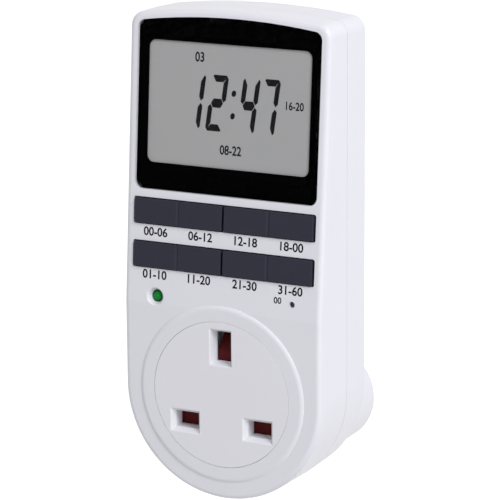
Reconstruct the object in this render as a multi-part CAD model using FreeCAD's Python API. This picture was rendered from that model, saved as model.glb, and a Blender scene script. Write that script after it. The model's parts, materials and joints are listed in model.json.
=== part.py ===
import FreeCAD, Part
import math
import os
from FreeCAD import Placement, Rotation, Vector

# Digital timer socket: a plug-in timer with a display, four rocker keys and a shuttered outlet.
# Millimetres. +Z is up, +Y points to the wall, and +X is to the right of a person facing the front.
# The origin lies on the plug's mating face, midway between the live and neutral pins.

# Pin pattern, the same for the plug at the back and the outlet at the front
line_pin_offset = 11.1
earth_rise = 22.2
line_pin_width = 6.35
line_pin_height = 4.0
earth_pin_width = 4.0
earth_pin_height = 8.0

# Plug pins
line_pin_reach = 17.7
earth_pin_reach = 22.7
pin_tip_chamfer = 0.9
sleeve_reach = 9.2
sleeve_thickness = 0.5
pin_tail = 4.8
pin_head_rim = 1.1
pin_head_thickness = 1.5

# Casing outline: a round bottom concentric with the outlet, straight sides, a shallow arched top
case_half_width = 30.2
top_arc_radius = 205.0
case_corner_radius = 4.0
outlet_height = 8.8

# Casing depths and walls
front_depth = 15.8
rear_depth = 12.2
plug_base_depth = 13.5
front_draft = 0.35
rear_draft = 0.2
rear_top_drop = 0.5
side_wall = 2.2
front_wall = 2.0
rear_wall = 2.0
front_edge_radius = 1.5
rear_edge_radius = 0.6
split_gap = 0.15
tongue_height = 1.5
tongue_thickness = 1.0

# Upper face, which leans back from the bend
lean_angle = 4.57
bend_height = 32.2
upper_face_height = 80.9

# Plug base outline: two low lobes beside the line pins and one lobe behind the earth pin
base_lobe_x = 13.1
base_lobe_z = 0.3
base_lobe_radius = 13.8
base_top_z = 20.5
base_top_radius = 13.6
base_wall = 2.2
base_edge_radius = 0.6

# Outlet ring and its round plate
ring_height = 0.5
ring_radius = 24.9
ring_shoulder = 1.2
plate_radius = 20.5
plate_gap = 0.08
plate_thickness = 2.9
plate_flange_radius = 21.9
plate_flange_inner = 17.0
plate_flange_thickness = 1.5
plate_edge_radius = 0.12
post_clearance = 0.3

# Outlet apertures, each with a funnel in front
line_slot_width = 7.0
line_slot_height = 4.6
line_funnel_rim = 1.0
line_funnel_depth = 1.55
earth_slot_width = 4.9
earth_slot_height = 8.6
earth_slot_drop = 0.1
earth_funnel_rim = 0.8
mouth_edge_radius = 0.35
earth_brow_depth = 1.4
collar_wall = 1.1
collar_gap = 0.3
earth_collar_depth = 0.3

# Shutter, which slides down behind the plate
shutter_setback = 5.2
shutter_thickness = 1.4
shutter_travel = 8.8
shutter_stem_width = 4.2
shutter_overlap = 0.75
ramp_gap = 0.3
ramp_foot_overlap = 0.5
ramp_start = 20.4
ramp_top_setback = 8.0
ramp_back = 0.5
foot_depth = 4.2
foot_thickness = 1.6

# Shutter spring
spring_wire = 0.45
spring_radius = 1.6
spring_turns = 6
channel_floor_gap = 1.25
spring_gap = 0.3

# Contact carrier, behind the shutter
carrier_half_width = 18.0
carrier_bottom = -6.2
carrier_top = 29.3
carrier_gap = 0.5
carrier_depth = 13.4
rail_thickness = 2.0
rail_floor_gap = 1.65
rail_gap = 0.4
carrier_ear_margin = 3.0
carrier_ear_height = 6.0
carrier_ear_thickness = 1.8
chamber_gap = 0.45
channel_wall = 1.3

# Female contacts and straps
contact_sheet = 0.6
contact_grip_gap = 0.15
contact_setback = 1.2
strap_width = 5.0
strap_thickness = 0.8
earth_bridge_setback = 3.0
earth_joggle = -16.5

# Display
lens_side_margin = 2.8
lens_bottom = 31.4
lens_top = 79.1
lens_arc_radius = 185.0
lens_corner_radius = 2.2
lens_thickness = 0.9
mask_thickness = 0.25
lens_sink = 0.05
lens_gap = 0.1
view_side_margin = 3.05
view_bottom = 38.7
view_top = 72.1
view_corner_radius = 2.0
window_margin = 1.6
window_corner_radius = 0.4
panel_side_overlap = 1.35
panel_low_overlap = 1.4
panel_high_overlap = 0.8
panel_thickness = 2.2
frame_rim = 0.7
frame_shelf = 1.1
panel_play = 0.15
zebra_width = 2.2
zebra_inset = 2.2
zebra_rim = 0.3

# Rocker keys: two rows of two, each rocking about an upright pin
key_row_bottoms = (9.65, 21.65)
key_slot_height = 7.5
key_slot_side_margin = 2.7
key_slot_radius = 0.6
key_side_gap = 0.3
key_end_gap = 0.55
key_middle_gap = 0.6
key_proud = 0.7
key_cap_thickness = 2.1
key_edge_radius = 0.3
key_groove_width = 1.1
key_groove_depth = 0.3
key_rock = 2.5
key_pin_radius = 0.8
key_pin_depth = 3.1
key_pin_reach = 1.3
key_pin_clearance = 0.06
key_lug_width = 3.6
key_lug_gap = 0.3
key_lug_thickness = 1.7
key_leg_offset = 8.5
key_leg_size = 2.0
key_leg_tip = 3.9
key_switch_gap = 0.7

# Switches under the keys
switch_size = 6.0
switch_stem_radius = 1.7
switch_stem_height = 0.8

# Status lamp and reset plunger, on the upper face just above the bend
lamp_side_margin = 9.9
lamp_v = 1.93
lamp_radius = 1.5
lamp_hole_gap = 0.2
lamp_dish_depth = 1.5
lamp_lip_radius = 0.8
lamp_lip_offset = 1.25
lamp_lip_rise = 0.05
lamp_sink = 0.7
lamp_length = 5.3
lamp_flange_radius = 1.9
lamp_lead_offset = 1.27
lamp_lead_size = 0.5
reset_side_margin = 9.05
reset_v = 4.25
reset_hole_radius = 0.87
reset_face_wall = 1.0
reset_radius = 1.1
reset_clearance = 0.05
reset_travel = 0.4
reset_play = 0.3
reset_guide_wall = 0.7
reset_guide_end = 4.6
reset_flange = 0.35
reset_length = 4.4
reset_switch_size = 4.0

# Boards
board_thickness = 1.2
control_depth = 8.6
control_side_margin = 3.4
control_bottom = 1.3
control_top = 77.6
control_notch_low = (3.7, 7.4)
control_notch_high = (5.7, 73.0)
power_side_margin = 3.8
power_bend_rise = 8.8
power_top_drop = 9.5
power_standoff = 0.7
power_thickness = 1.6

# On the control board: places across it and up from the bend
chip_place = (6.0, 52.0)
chip_radius = 5.5
chip_dome_radius = 11.0
chip_height = 1.6
crystal_place = (14.0, 60.0)
crystal_length = 7.0
crystal_radius = 1.1
battery_place = (-15.0, 62.0)
battery_radius = 7.75
battery_height = 5.4

# On the power board: insets from its right or left edge and heights above its lower edge
relay_inset = 5.8
relay_rise = 7.6
relay_size = (28.6, 10.3, 12.4)
relay_edge_radius = 0.6
dropper_inset = 0.4
dropper_rise = 21.2
dropper_size = (17.0, 9.4, 8.5)
dropper_edge_radius = 0.8
smoothing_start = -3.0
smoothing_rise = 31.0
smoothing_length = 12.0
smoothing_radius = 4.0
varistor_inset = 9.4
varistor_rise = 36.4
varistor_radius = 5.0
varistor_thickness = 4.0
diode_inset = 6.9
diode_rise = 25.0
diode_pitch = 4.0
diode_length = 5.0
diode_radius = 1.3
resistor_inset = 4.4
resistor_rise = 43.6
resistor_length = 10.0
resistor_radius = 1.7
link_half_width = 5.0
link_rise = 4.5
link_thickness = 1.0
link_gap = 0.1

# Wires
wire_radius = 1.0
wire_gap = 0.15
wire_landing = 5.0
wire_bend_drop = 8.0
supply_wire_x = 17.5
load_wire_x = 8.0
neutral_wire_x = -14.0
supply_wire_lead = 4.5
supply_turn_place = (-1.0, 1.2, 8.0)
load_wire_lead = (2.2, 2.5)
load_turn_height = 12.0
neutral_wire_lead = 3.5
neutral_wire_rise = 5.0

# Fasteners
case_screw_top = (5.6, 5.0)
case_screw_middle = (4.6, 4.3)
case_screw_low = (7.4, 9.8)
case_screw_radius = 1.3
case_screw_head_radius = 2.4
case_screw_head_height = 1.9
case_screw_length = 11.5
case_screw_seat = 5.2
head_clearance = 0.15
thread_clearance = 0.02
blind_wall = 0.9
case_post_radius = 2.3
case_tube_radius = 3.1
small_screw_radius = 0.9
small_screw_head_radius = 1.75
small_screw_head_height = 1.1
small_screw_length = 5.2
small_post_radius = 1.9
control_screw_low = (4.8, 33.2)
control_screw_high = (9.3, 76.0)
power_screw_inset = 3.0
power_screw_low = 3.5
power_screw_high = 4.1
retainer_screw_x = 9.5
retainer_screw_z = 12.5
retainer_thickness = 1.5

# Sizes that follow from those above
case_top = bend_height + upper_face_height
lens_half_width = case_half_width - lens_side_margin
view_half_width = lens_half_width - view_side_margin
panel_half_width = view_half_width + panel_side_overlap
panel_bottom = view_bottom - panel_low_overlap
panel_top = view_top + panel_high_overlap
zebra_half_length = panel_half_width - zebra_inset
key_slot_half_width = case_half_width - key_slot_side_margin
lamp_x = lamp_side_margin - case_half_width
reset_x = case_half_width - reset_side_margin
carrier_ear_reach = case_half_width - carrier_ear_margin
floor_radius = case_half_width - side_wall
rail_bottom = outlet_height - math.sqrt(floor_radius ** 2 - carrier_half_width ** 2) + rail_floor_gap
spring_top = -line_slot_height / 2 - shutter_overlap - spring_gap
spring_bottom = outlet_height - floor_radius + channel_floor_gap + channel_wall + spring_gap
control_half_width = case_half_width - control_side_margin
power_half_width = case_half_width - power_side_margin
power_bottom = bend_height + power_bend_rise
power_top = case_top - power_top_drop
wire_bend = power_bottom - wire_bend_drop
wire_end = power_bottom + wire_landing
case_screw_places = ((case_half_width - case_screw_top[0], case_top - case_screw_top[1]),
                     (case_half_width - case_screw_middle[0], bend_height + case_screw_middle[1]),
                     (case_half_width - case_screw_low[0], outlet_height - case_screw_low[1]))
control_screw_places = ((control_half_width - control_screw_low[0], control_screw_low[1]),
                        (control_half_width - control_screw_high[0], control_screw_high[1]))
power_screw_places = ((power_half_width - power_screw_inset, power_bottom + power_screw_low),
                      (power_half_width - power_screw_inset, power_top - power_screw_high))

# Planes that follow, from the wall side to the front
rear_face = -plug_base_depth
split_plane = rear_face - rear_depth
case_face = split_plane - front_depth
outlet_face = case_face - ring_height
plate_back = outlet_face + plate_thickness
shutter_front = outlet_face + shutter_setback
shutter_back = shutter_front + shutter_thickness
carrier_front = shutter_back + carrier_gap
carrier_back = carrier_front + carrier_depth
lean = math.radians(lean_angle)
control_back = control_depth + board_thickness


# Basic solids
def block(x0, x1, y0, y1, z0, z1):
    return Part.makeBox(x1 - x0, y1 - y0, z1 - z0, Vector(x0, y0, z0))


def rod_x(x0, x1, y, z, radius):
    return Part.makeCylinder(radius, x1 - x0, Vector(x0, y, z), Vector(1, 0, 0))


def rod_y(x, z, radius, y0, y1):
    return Part.makeCylinder(radius, y1 - y0, Vector(x, y0, z), Vector(0, 1, 0))


def rod_z(x, y, radius, z0, z1):
    return Part.makeCylinder(radius, z1 - z0, Vector(x, y, z0), Vector(0, 0, 1))


def fused(shapes):
    whole = shapes[0]
    if len(shapes) > 1:
        whole = whole.multiFuse(shapes[1:])
    return whole.removeSplitter()


def cut(solid, tools):
    return solid.cut(Part.makeCompound(tools))


def hollowed(solid, room, inner):
    # the inner parts are kept out of the room before it is cut, so that no faces coincide
    return solid.cut(cut(room, inner)).removeSplitter()


def arc_edge(centre_x, centre_z, radius, start, end, y):
    points = []
    for angle in (start, (start + end) / 2, end):
        points.append(Vector(centre_x + radius * math.cos(angle), y, centre_z + radius * math.sin(angle)))
    return Part.Arc(points[0], points[1], points[2]).toShape()


def joined(edges):
    # closes a chain of edges into a wire, with straight lines across the gaps
    chain = []
    for number, edge in enumerate(edges):
        following = edges[(number + 1) % len(edges)]
        chain.append(edge)
        end = edge.valueAt(edge.LastParameter)
        start = following.valueAt(following.FirstParameter)
        if end.distanceToPoint(start) > 1e-6:
            chain.append(Part.makeLine(end, start))
    return Part.Wire(chain)


def prism(wire, depth):
    return Part.Face(wire).extrude(Vector(0, depth, 0))


def rounded_block(x0, x1, y0, y1, z0, z1, radius):
    corners = ((x1 - radius, z1 - radius), (x0 + radius, z1 - radius),
               (x0 + radius, z0 + radius), (x1 - radius, z0 + radius))
    edges = []
    for number, (x, z) in enumerate(corners):
        edges.append(arc_edge(x, z, radius, number * math.pi / 2, (number + 1) * math.pi / 2, y0))
    return prism(joined(edges), y1 - y0)


def yz_prism(points, x0, x1):
    wire = Part.makePolygon([Vector(x0, y, z) for y, z in points] + [Vector(x0, *points[0])])
    return Part.Face(wire).extrude(Vector(x1 - x0, 0, 0))


def funnel(x, z, width, height, rim, y_front, y_back):
    # a rectangular opening that widens by the rim towards the front
    outlines = []
    for half_w, half_h, y in ((width / 2 + rim, height / 2 + rim, y_front), (width / 2, height / 2, y_back)):
        corners = ((-half_w, -half_h), (half_w, -half_h), (half_w, half_h), (-half_w, half_h),
                   (-half_w, -half_h))
        outlines.append(Part.makePolygon([Vector(x + dx, y, z + dz) for dx, dz in corners]))
    return Part.makeLoft(outlines, True, True)


def leaning(solid):
    # solids of the upper face are drawn with x along it, y as depth below it and z up it from the bend
    placed = solid.copy()
    placed.Placement = Placement(Vector(0, case_face, bend_height), Rotation(Vector(1, 0, 0), -lean_angle))
    return placed


def mirrored(places):
    both = []
    for x, z in places:
        both.append((x, z))
        both.append((-x, z))
    return both


# Outlines of the casing and the plug base
def arched_edges(half, bottom_edges, apex, arc_radius, corner_radius, inset, y):
    # a shallow arch over two corners, then the given lower edges; the inset shrinks everything evenly
    arc_z = apex - arc_radius
    corner_x = half - corner_radius
    corner_z = arc_z + math.sqrt((arc_radius - corner_radius) ** 2 - corner_x ** 2)
    tilt = math.atan2(corner_z - arc_z, corner_x)
    right = arc_edge(corner_x, corner_z, corner_radius - inset, 0, tilt, y)
    top = arc_edge(0, arc_z, arc_radius - inset, tilt, math.pi - tilt, y)
    left = arc_edge(-corner_x, corner_z, corner_radius - inset, math.pi - tilt, math.pi, y)
    return [right, top, left] + bottom_edges


def half_width_at(y):
    if y < split_plane:
        return case_half_width - front_draft * (split_plane - y) / front_depth
    return case_half_width - rear_draft * (y - split_plane) / rear_depth


def top_at(y):
    return case_top - rear_top_drop * max(0, y - split_plane) / rear_depth


def case_outline(y, wall):
    # the outline of the drafted casing at a depth, moved inwards by the wall
    half = half_width_at(y)
    bottom = arc_edge(0, outlet_height, half - wall, math.pi, 2 * math.pi, y)
    return joined(arched_edges(half, [bottom], top_at(y), top_arc_radius, case_corner_radius, wall, y))


def lens_outline(y, inset):
    corner_x = lens_half_width - lens_corner_radius
    corner_z = lens_bottom + lens_corner_radius
    radius = lens_corner_radius - inset
    left = arc_edge(-corner_x, corner_z, radius, math.pi, 1.5 * math.pi, y)
    right = arc_edge(corner_x, corner_z, radius, 1.5 * math.pi, 2 * math.pi, y)
    return joined(arched_edges(lens_half_width, [left, right], lens_top, lens_arc_radius,
                               lens_corner_radius, inset, y))


def plug_base_outline(y, inset):
    rise = base_top_z - base_lobe_z
    slant = math.hypot(base_lobe_x, rise)
    side = math.atan2(rise, -base_lobe_x) - math.acos((base_lobe_radius - base_top_radius) / slant)
    low = base_lobe_radius - inset
    high = base_top_radius - inset
    right = arc_edge(base_lobe_x, base_lobe_z, low, -math.pi / 2, side, y)
    top = arc_edge(0, base_top_z, high, side, math.pi - side, y)
    left = arc_edge(-base_lobe_x, base_lobe_z, low, math.pi - side, 1.5 * math.pi, y)
    return joined([right, top, left])


def drafted(y0, y1, wall):
    return Part.makeLoft([case_outline(y0, wall), case_outline(y1, wall)], True, True)


def behind_front_faces(offset):
    # the space behind the two front faces, each moved inwards by the offset
    y_low = case_face + offset
    z_bend = bend_height - offset * math.tan(lean / 2)
    reach = case_top
    y_back = split_plane + front_depth
    points = ((y_low, -reach), (y_low, z_bend),
              (y_low + reach * math.sin(lean), z_bend + reach * math.cos(lean)),
              (y_back, z_bend + reach * math.cos(lean)), (y_back, -reach))
    return yz_prism(points, -reach, reach)


def on_front_faces(point):
    depth_low = point.y - case_face
    depth_high = depth_low * math.cos(lean) - (point.z - bend_height) * math.sin(lean)
    return min(abs(depth_low), abs(depth_high)) < 1e-4


# Front shell
def front_block():
    solid = drafted(split_plane - split_gap / 2, case_face, 0).common(behind_front_faces(0))
    rim = []
    for edge in solid.Edges:
        middle = edge.valueAt((edge.FirstParameter + edge.LastParameter) / 2)
        ends = [vertex.Point for vertex in edge.Vertexes]
        across = len(ends) == 2 and abs(ends[0].z - ends[1].z) < 1e-6 and abs(middle.z - bend_height) < 1e-3
        if all(on_front_faces(point) for point in ends + [middle]) and not across:
            rim.append(edge)
    return solid.makeFillet(front_edge_radius, rim)


def front_cavity():
    return drafted(split_plane + 1, case_face, side_wall).common(behind_front_faces(front_wall))


def split_prism(inset, y0, y1):
    # the casing's outline at the split, moved inwards by the inset
    solid = prism(case_outline(split_plane, inset), y1 - y0)
    solid.translate(Vector(0, y0 - split_plane, 0))
    return solid


def tongue_room():
    # the groove for the rear shell's tongue, which also trims the posts beside it
    y0 = split_plane - tongue_height - thread_clearance
    outer = split_prism(side_wall - tongue_thickness - thread_clearance, y0, split_plane)
    return outer.cut(split_prism(side_wall + post_clearance, y0, split_plane))


def key_row_centre(bottom):
    return bottom + key_slot_height / 2


def key_centre_x():
    return (key_slot_half_width + key_middle_gap / 2 - key_end_gap) / 2


def key_lugs():
    # blocks behind the front wall, above, between and below the key rows, bored for the key pins
    low, high = key_row_bottoms
    spans = ((low - key_lug_gap - key_lug_thickness, low - key_lug_gap),
             (low + key_slot_height + key_lug_gap, high - key_lug_gap),
             (high + key_slot_height + key_lug_gap, high + key_slot_height + key_lug_gap + key_lug_thickness))
    depth = key_pin_depth + key_pin_radius + 0.9
    lugs = []
    for side in (-1, 1):
        x = side * key_centre_x()
        for z0, z1 in spans:
            lug = block(x - key_lug_width / 2, x + key_lug_width / 2, front_wall - 0.5, depth, z0, z1)
            bore = rod_z(x, key_pin_depth, key_pin_radius + key_pin_clearance, z0 - 1, z1 + 1)
            lugs.append(lug.cut(bore))
    return lugs


def front_inner_parts():
    # posts and guides that stand on the inside of the front shell
    parts = []
    for x, z in mirrored(case_screw_places):
        parts.append(rod_y(x, z, case_post_radius, case_face + 1, split_plane - split_gap))
    upper = key_lugs()
    for x, z in mirrored(control_screw_places):
        upper.append(rod_y(x, z, small_post_radius, front_wall - 0.5, control_depth))
    upper.append(rod_y(reset_x, reset_v, reset_radius + reset_clearance + reset_guide_wall,
                       front_wall - 0.5, reset_guide_end))
    parts.extend(leaning(solid) for solid in upper)
    for side in (-1, 1):
        parts.append(rod_y(side * carrier_screw_x(), outlet_height, case_post_radius,
                           case_face + 1, carrier_front))
    return parts


def carrier_screw_x():
    return carrier_ear_reach - case_post_radius


def lamp_dish():
    # the lamp's hole and the cone in front of it, which touches the arc of a rounded lip
    hole = lamp_radius + lamp_hole_gap
    drop = lamp_dish_depth - lamp_lip_radius + lamp_lip_rise
    reach = math.hypot(lamp_lip_offset, drop)
    slope = math.atan2(lamp_lip_offset, drop) - math.asin(lamp_lip_radius / reach)
    run = math.sqrt(reach ** 2 - lamp_lip_radius ** 2)
    lip = hole + lamp_lip_offset
    half_turn = (math.pi / 2 - slope) / 2
    profile = ((0, -lamp_lip_rise), (lip, -lamp_lip_rise),
               (lip - lamp_lip_radius * math.sin(half_turn),
                lamp_lip_radius * (1 - math.cos(half_turn)) - lamp_lip_rise),
               (hole + run * math.sin(slope), lamp_dish_depth - run * math.cos(slope)),
               (hole, lamp_dish_depth), (hole, front_wall + 1), (0, front_wall + 1))
    points = [Vector(lamp_x + radius, depth, lamp_v) for radius, depth in profile]
    edges = [Part.makeLine(points[0], points[1]), Part.Arc(points[1], points[2], points[3]).toShape()]
    for start, end in zip(points[3:], points[4:] + points[:1]):
        edges.append(Part.makeLine(start, end))
    return Part.Face(Part.Wire(edges)).revolve(Vector(lamp_x, 0, lamp_v), Vector(0, 1, 0), 360)


def front_openings():
    # everything cut from the front shell after its inner parts are added
    bore = rod_y(0, outlet_height, plate_radius + plate_gap, outlet_face - 1, case_face + front_wall + 0.5)
    tools = [bore, tongue_room()]
    sink = lens_sink + lens_thickness + mask_thickness
    upper = [prism(lens_outline(-1, -lens_gap), 1 + sink)]
    upper.append(rounded_block(-view_half_width - window_margin, view_half_width + window_margin,
                               -1, front_wall + 1, view_bottom - window_margin, view_top + window_margin,
                               window_corner_radius))
    for bottom in key_row_bottoms:
        upper.append(rounded_block(-key_slot_half_width, key_slot_half_width, -1, front_wall + 0.4,
                                   bottom, bottom + key_slot_height, key_slot_radius))
    upper.append(lamp_dish())
    upper.append(rod_y(reset_x, reset_v, reset_hole_radius, -1, front_wall + 1))
    upper.append(rod_y(reset_x, reset_v, reset_radius + reset_clearance,
                       reset_face_wall, reset_guide_end + 1))
    for x, z in mirrored(control_screw_places):
        upper.append(rod_y(x, z, small_screw_radius + thread_clearance,
                           control_back - small_screw_length - 0.3, control_depth + 1))
    tools.extend(leaning(solid) for solid in upper)
    for x, z in mirrored(case_screw_places):
        tools.append(rod_y(x, z, case_screw_radius + thread_clearance,
                           case_screw_tip() - 0.3, split_plane))
    for side in (-1, 1):
        tip = carrier_front + carrier_ear_thickness - small_screw_length
        tools.append(rod_y(side * carrier_screw_x(), outlet_height, small_screw_radius + thread_clearance,
                           tip - 0.3, carrier_front + 1))
    return tools


def outlet_ring():
    # a low disc whose shoulder falls away in an arc; its root reaches below the faces
    arc = (ring_shoulder ** 2 + ring_height ** 2) / (2 * ring_height)
    turn = math.asin(ring_shoulder / arc) / 2
    flat = ring_radius - ring_shoulder
    root = case_face + ring_height
    points = [Vector(0, outlet_face, 0), Vector(flat, outlet_face, 0),
              Vector(flat + arc * math.sin(turn), outlet_face + arc * (1 - math.cos(turn)), 0),
              Vector(ring_radius, case_face, 0), Vector(ring_radius, root, 0), Vector(0, root, 0)]
    edges = [Part.makeLine(points[0], points[1]), Part.Arc(points[1], points[2], points[3]).toShape(),
             Part.makeLine(points[3], points[4]), Part.makeLine(points[4], points[5]),
             Part.makeLine(points[5], points[0])]
    ring = Part.Face(Part.Wire(edges)).revolve(Vector(0, 0, 0), Vector(0, 1, 0), 360)
    ring.translate(Vector(0, 0, outlet_height))
    return ring


def front_shell():
    shell = hollowed(front_block(), front_cavity(), front_inner_parts())
    return cut(fused([shell, outlet_ring()]), front_openings())


# Rear shell with the plug base
def case_screw_seat_plane():
    return split_plane + case_screw_seat


def case_screw_tip():
    return case_screw_seat_plane() - case_screw_length


def plug_base_inner():
    y0 = rear_face - rear_wall - 1
    return prism(plug_base_outline(y0, base_wall), -base_wall - y0)


def rear_outer():
    shell = drafted(split_plane + split_gap / 2, rear_face, 0)
    rim = [edge for edge in shell.Edges if all(abs(vertex.Y - rear_face) < 1e-6 for vertex in edge.Vertexes)]
    shell = shell.makeFillet(rear_edge_radius, rim)
    base = prism(plug_base_outline(rear_face - 1, 0), plug_base_depth + 1)
    rim = [edge for edge in base.Edges if all(abs(vertex.Y) < 1e-6 for vertex in edge.Vertexes)]
    return shell.fuse(base.makeFillet(base_edge_radius, rim))


def rear_inner_parts():
    parts = []
    for x, z in mirrored(case_screw_places):
        parts.append(rod_y(x, z, case_tube_radius, split_plane + split_gap / 2, -1))
    for x, z in mirrored(power_screw_places):
        parts.append(rod_y(x, z, small_post_radius, power_front() + power_thickness, rear_face - 1))
    for side in (-1, 1):
        parts.append(rod_y(side * retainer_screw_x, retainer_screw_z, small_post_radius,
                           pin_head_back(), -1))
    return parts


def power_front():
    return rear_face - rear_wall - power_standoff - power_thickness


def pin_head_back():
    return -base_wall - pin_head_thickness


def rear_openings():
    tools = []
    for side in (-1, 1):
        x = side * line_pin_offset
        tools.append(block(x - line_pin_width / 2, x + line_pin_width / 2, -base_wall - 1, 1,
                           -line_pin_height / 2, line_pin_height / 2))
        tools.append(rod_y(side * retainer_screw_x, retainer_screw_z, small_screw_radius + thread_clearance,
                           pin_head_back() - 1, -blind_wall + 0.1))
    tools.append(block(-earth_pin_width / 2, earth_pin_width / 2, -base_wall - 1, 1,
                       earth_rise - earth_pin_height / 2, earth_rise + earth_pin_height / 2))
    for x, z in mirrored(case_screw_places):
        tools.append(rod_y(x, z, case_screw_head_radius + head_clearance, case_screw_seat_plane(), 1))
        tools.append(rod_y(x, z, case_screw_radius + head_clearance, split_plane - tongue_height - 1,
                           case_screw_seat_plane() + 1))
    for x, z in mirrored(power_screw_places):
        tools.append(rod_y(x, z, small_screw_radius + thread_clearance, power_front(),
                           rear_face - blind_wall + 0.1))
    return tools


def rear_shell():
    outer = rear_outer()
    tongue = split_prism(side_wall - tongue_thickness, split_plane - tongue_height, split_plane + 1)
    hollow = drafted(split_plane, rear_face - rear_wall, side_wall)
    front_room = split_prism(side_wall, split_plane - tongue_height - 1, split_plane)
    shell = hollowed(outer.fuse(tongue), front_room.fuse(hollow).fuse(plug_base_inner()), rear_inner_parts())
    return cut(shell, rear_openings())


# Outlet plate
def socket_plate():
    disc = rod_y(0, outlet_height, plate_radius, outlet_face, plate_back)
    y0 = case_face + front_wall
    y1 = y0 + plate_flange_thickness
    flange = rod_y(0, outlet_height, plate_flange_radius, y0, y1)
    notches = [rod_y(0, outlet_height, plate_flange_inner, y0 - 1, y1 + 1)]
    posts = mirrored(case_screw_places + ((carrier_screw_x(), outlet_height),))
    for x, z in posts:
        notches.append(rod_y(x, z, case_post_radius + post_clearance, y0 - 1, y1 + 1))
    flange = cut(flange, notches).common(behind_front_faces(front_wall))
    parts = [disc, flange]
    tools = []
    half_w = line_slot_width / 2
    half_h = line_slot_height / 2
    for side in (-1, 1):
        x = side * line_pin_offset
        parts.append(block(x - half_w - collar_wall, x + half_w + collar_wall, plate_back - 0.5,
                           shutter_front - collar_gap, -half_h - collar_wall, half_h + collar_wall))
        tools.append(funnel(x, 0, line_slot_width, line_slot_height, line_funnel_rim,
                            outlet_face, outlet_face + line_funnel_depth))
        tools.append(block(x - half_w, x + half_w, outlet_face + 1, shutter_front + 1, -half_h, half_h))
    half_w = earth_slot_width / 2
    centre = earth_rise - earth_slot_drop
    z0 = centre - earth_slot_height / 2
    z1 = centre + earth_slot_height / 2
    collar_back = plate_back + earth_collar_depth
    parts.append(block(-half_w - collar_wall, half_w + collar_wall, plate_back - 0.5, collar_back,
                       z0, z1 + collar_wall))
    tools.append(block(-half_w, half_w, plate_back, collar_back + 1, z0 - 1, z1))
    mouth = funnel(0, centre, earth_slot_width, earth_slot_height, earth_funnel_rim, outlet_face, plate_back)
    low = z0 - earth_funnel_rim
    brow = yz_prism(((outlet_face, z1 + earth_funnel_rim), (outlet_face + earth_brow_depth, z1),
                     (plate_back, z1), (plate_back, low), (outlet_face, low)),
                    -half_w - earth_funnel_rim, half_w + earth_funnel_rim)
    tools.append(mouth.common(brow))
    plate = cut(fused(parts), tools)
    mouths = [edge for edge in plate.Edges if edge.Curve.TypeId == "Part::GeomLine"
              and all(abs(vertex.Y - outlet_face) < 1e-6 for vertex in edge.Vertexes)]
    plate = plate.makeFillet(mouth_edge_radius, mouths)
    rim = [edge for edge in plate.Edges if edge.Curve.TypeId == "Part::GeomCircle"
           and abs(edge.Curve.Radius - plate_radius) < 1e-6 and abs(edge.Curve.Center.y - outlet_face) < 1e-6]
    return plate.makeFillet(plate_edge_radius, rim)


# Shutter and its spring
def ramp_foot():
    return earth_rise - earth_slot_drop - earth_slot_height / 2 - ramp_foot_overlap


def shutter():
    half_h = line_slot_height / 2 + shutter_overlap
    wing_end = carrier_half_width - rail_thickness - rail_gap
    wings = block(-wing_end, wing_end, shutter_front, shutter_back, -half_h, half_h)
    half_stem = shutter_stem_width / 2
    ramp_top = earth_rise + earth_pin_height / 2 + 0.6
    front = plate_back + ramp_gap
    back = outlet_face + ramp_top_setback + ramp_back
    stem = block(-half_stem, half_stem, shutter_front, shutter_back, half_h - 0.5, ramp_foot() + 0.5)
    wedge = yz_prism(((front, ramp_foot()), (back, ramp_foot()), (back, ramp_top),
                      (outlet_face + ramp_top_setback, ramp_top), (front, ramp_start)), -half_stem, half_stem)
    foot = block(-half_stem, half_stem, shutter_back - 0.5, shutter_back + foot_depth,
                 -half_h, -half_h + foot_thickness)
    return fused([wings, stem, wedge, foot])


def spring_y():
    return shutter_back + spring_gap + spring_radius + spring_wire / 2


def shutter_spring():
    height = spring_top - spring_bottom - spring_wire
    z0 = spring_bottom + spring_wire / 2
    helix = Part.makeHelix(height / spring_turns, height, spring_radius)
    helix.translate(Vector(0, spring_y(), z0))
    start = Vector(spring_radius, spring_y(), z0)
    climb = height / spring_turns / (2 * math.pi * spring_radius)
    section = Part.Wire(Part.makeCircle(spring_wire / 2, start, Vector(0, 1, climb)))
    return Part.Wire(helix.Edges).makePipeShell([section], True, True)


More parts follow.
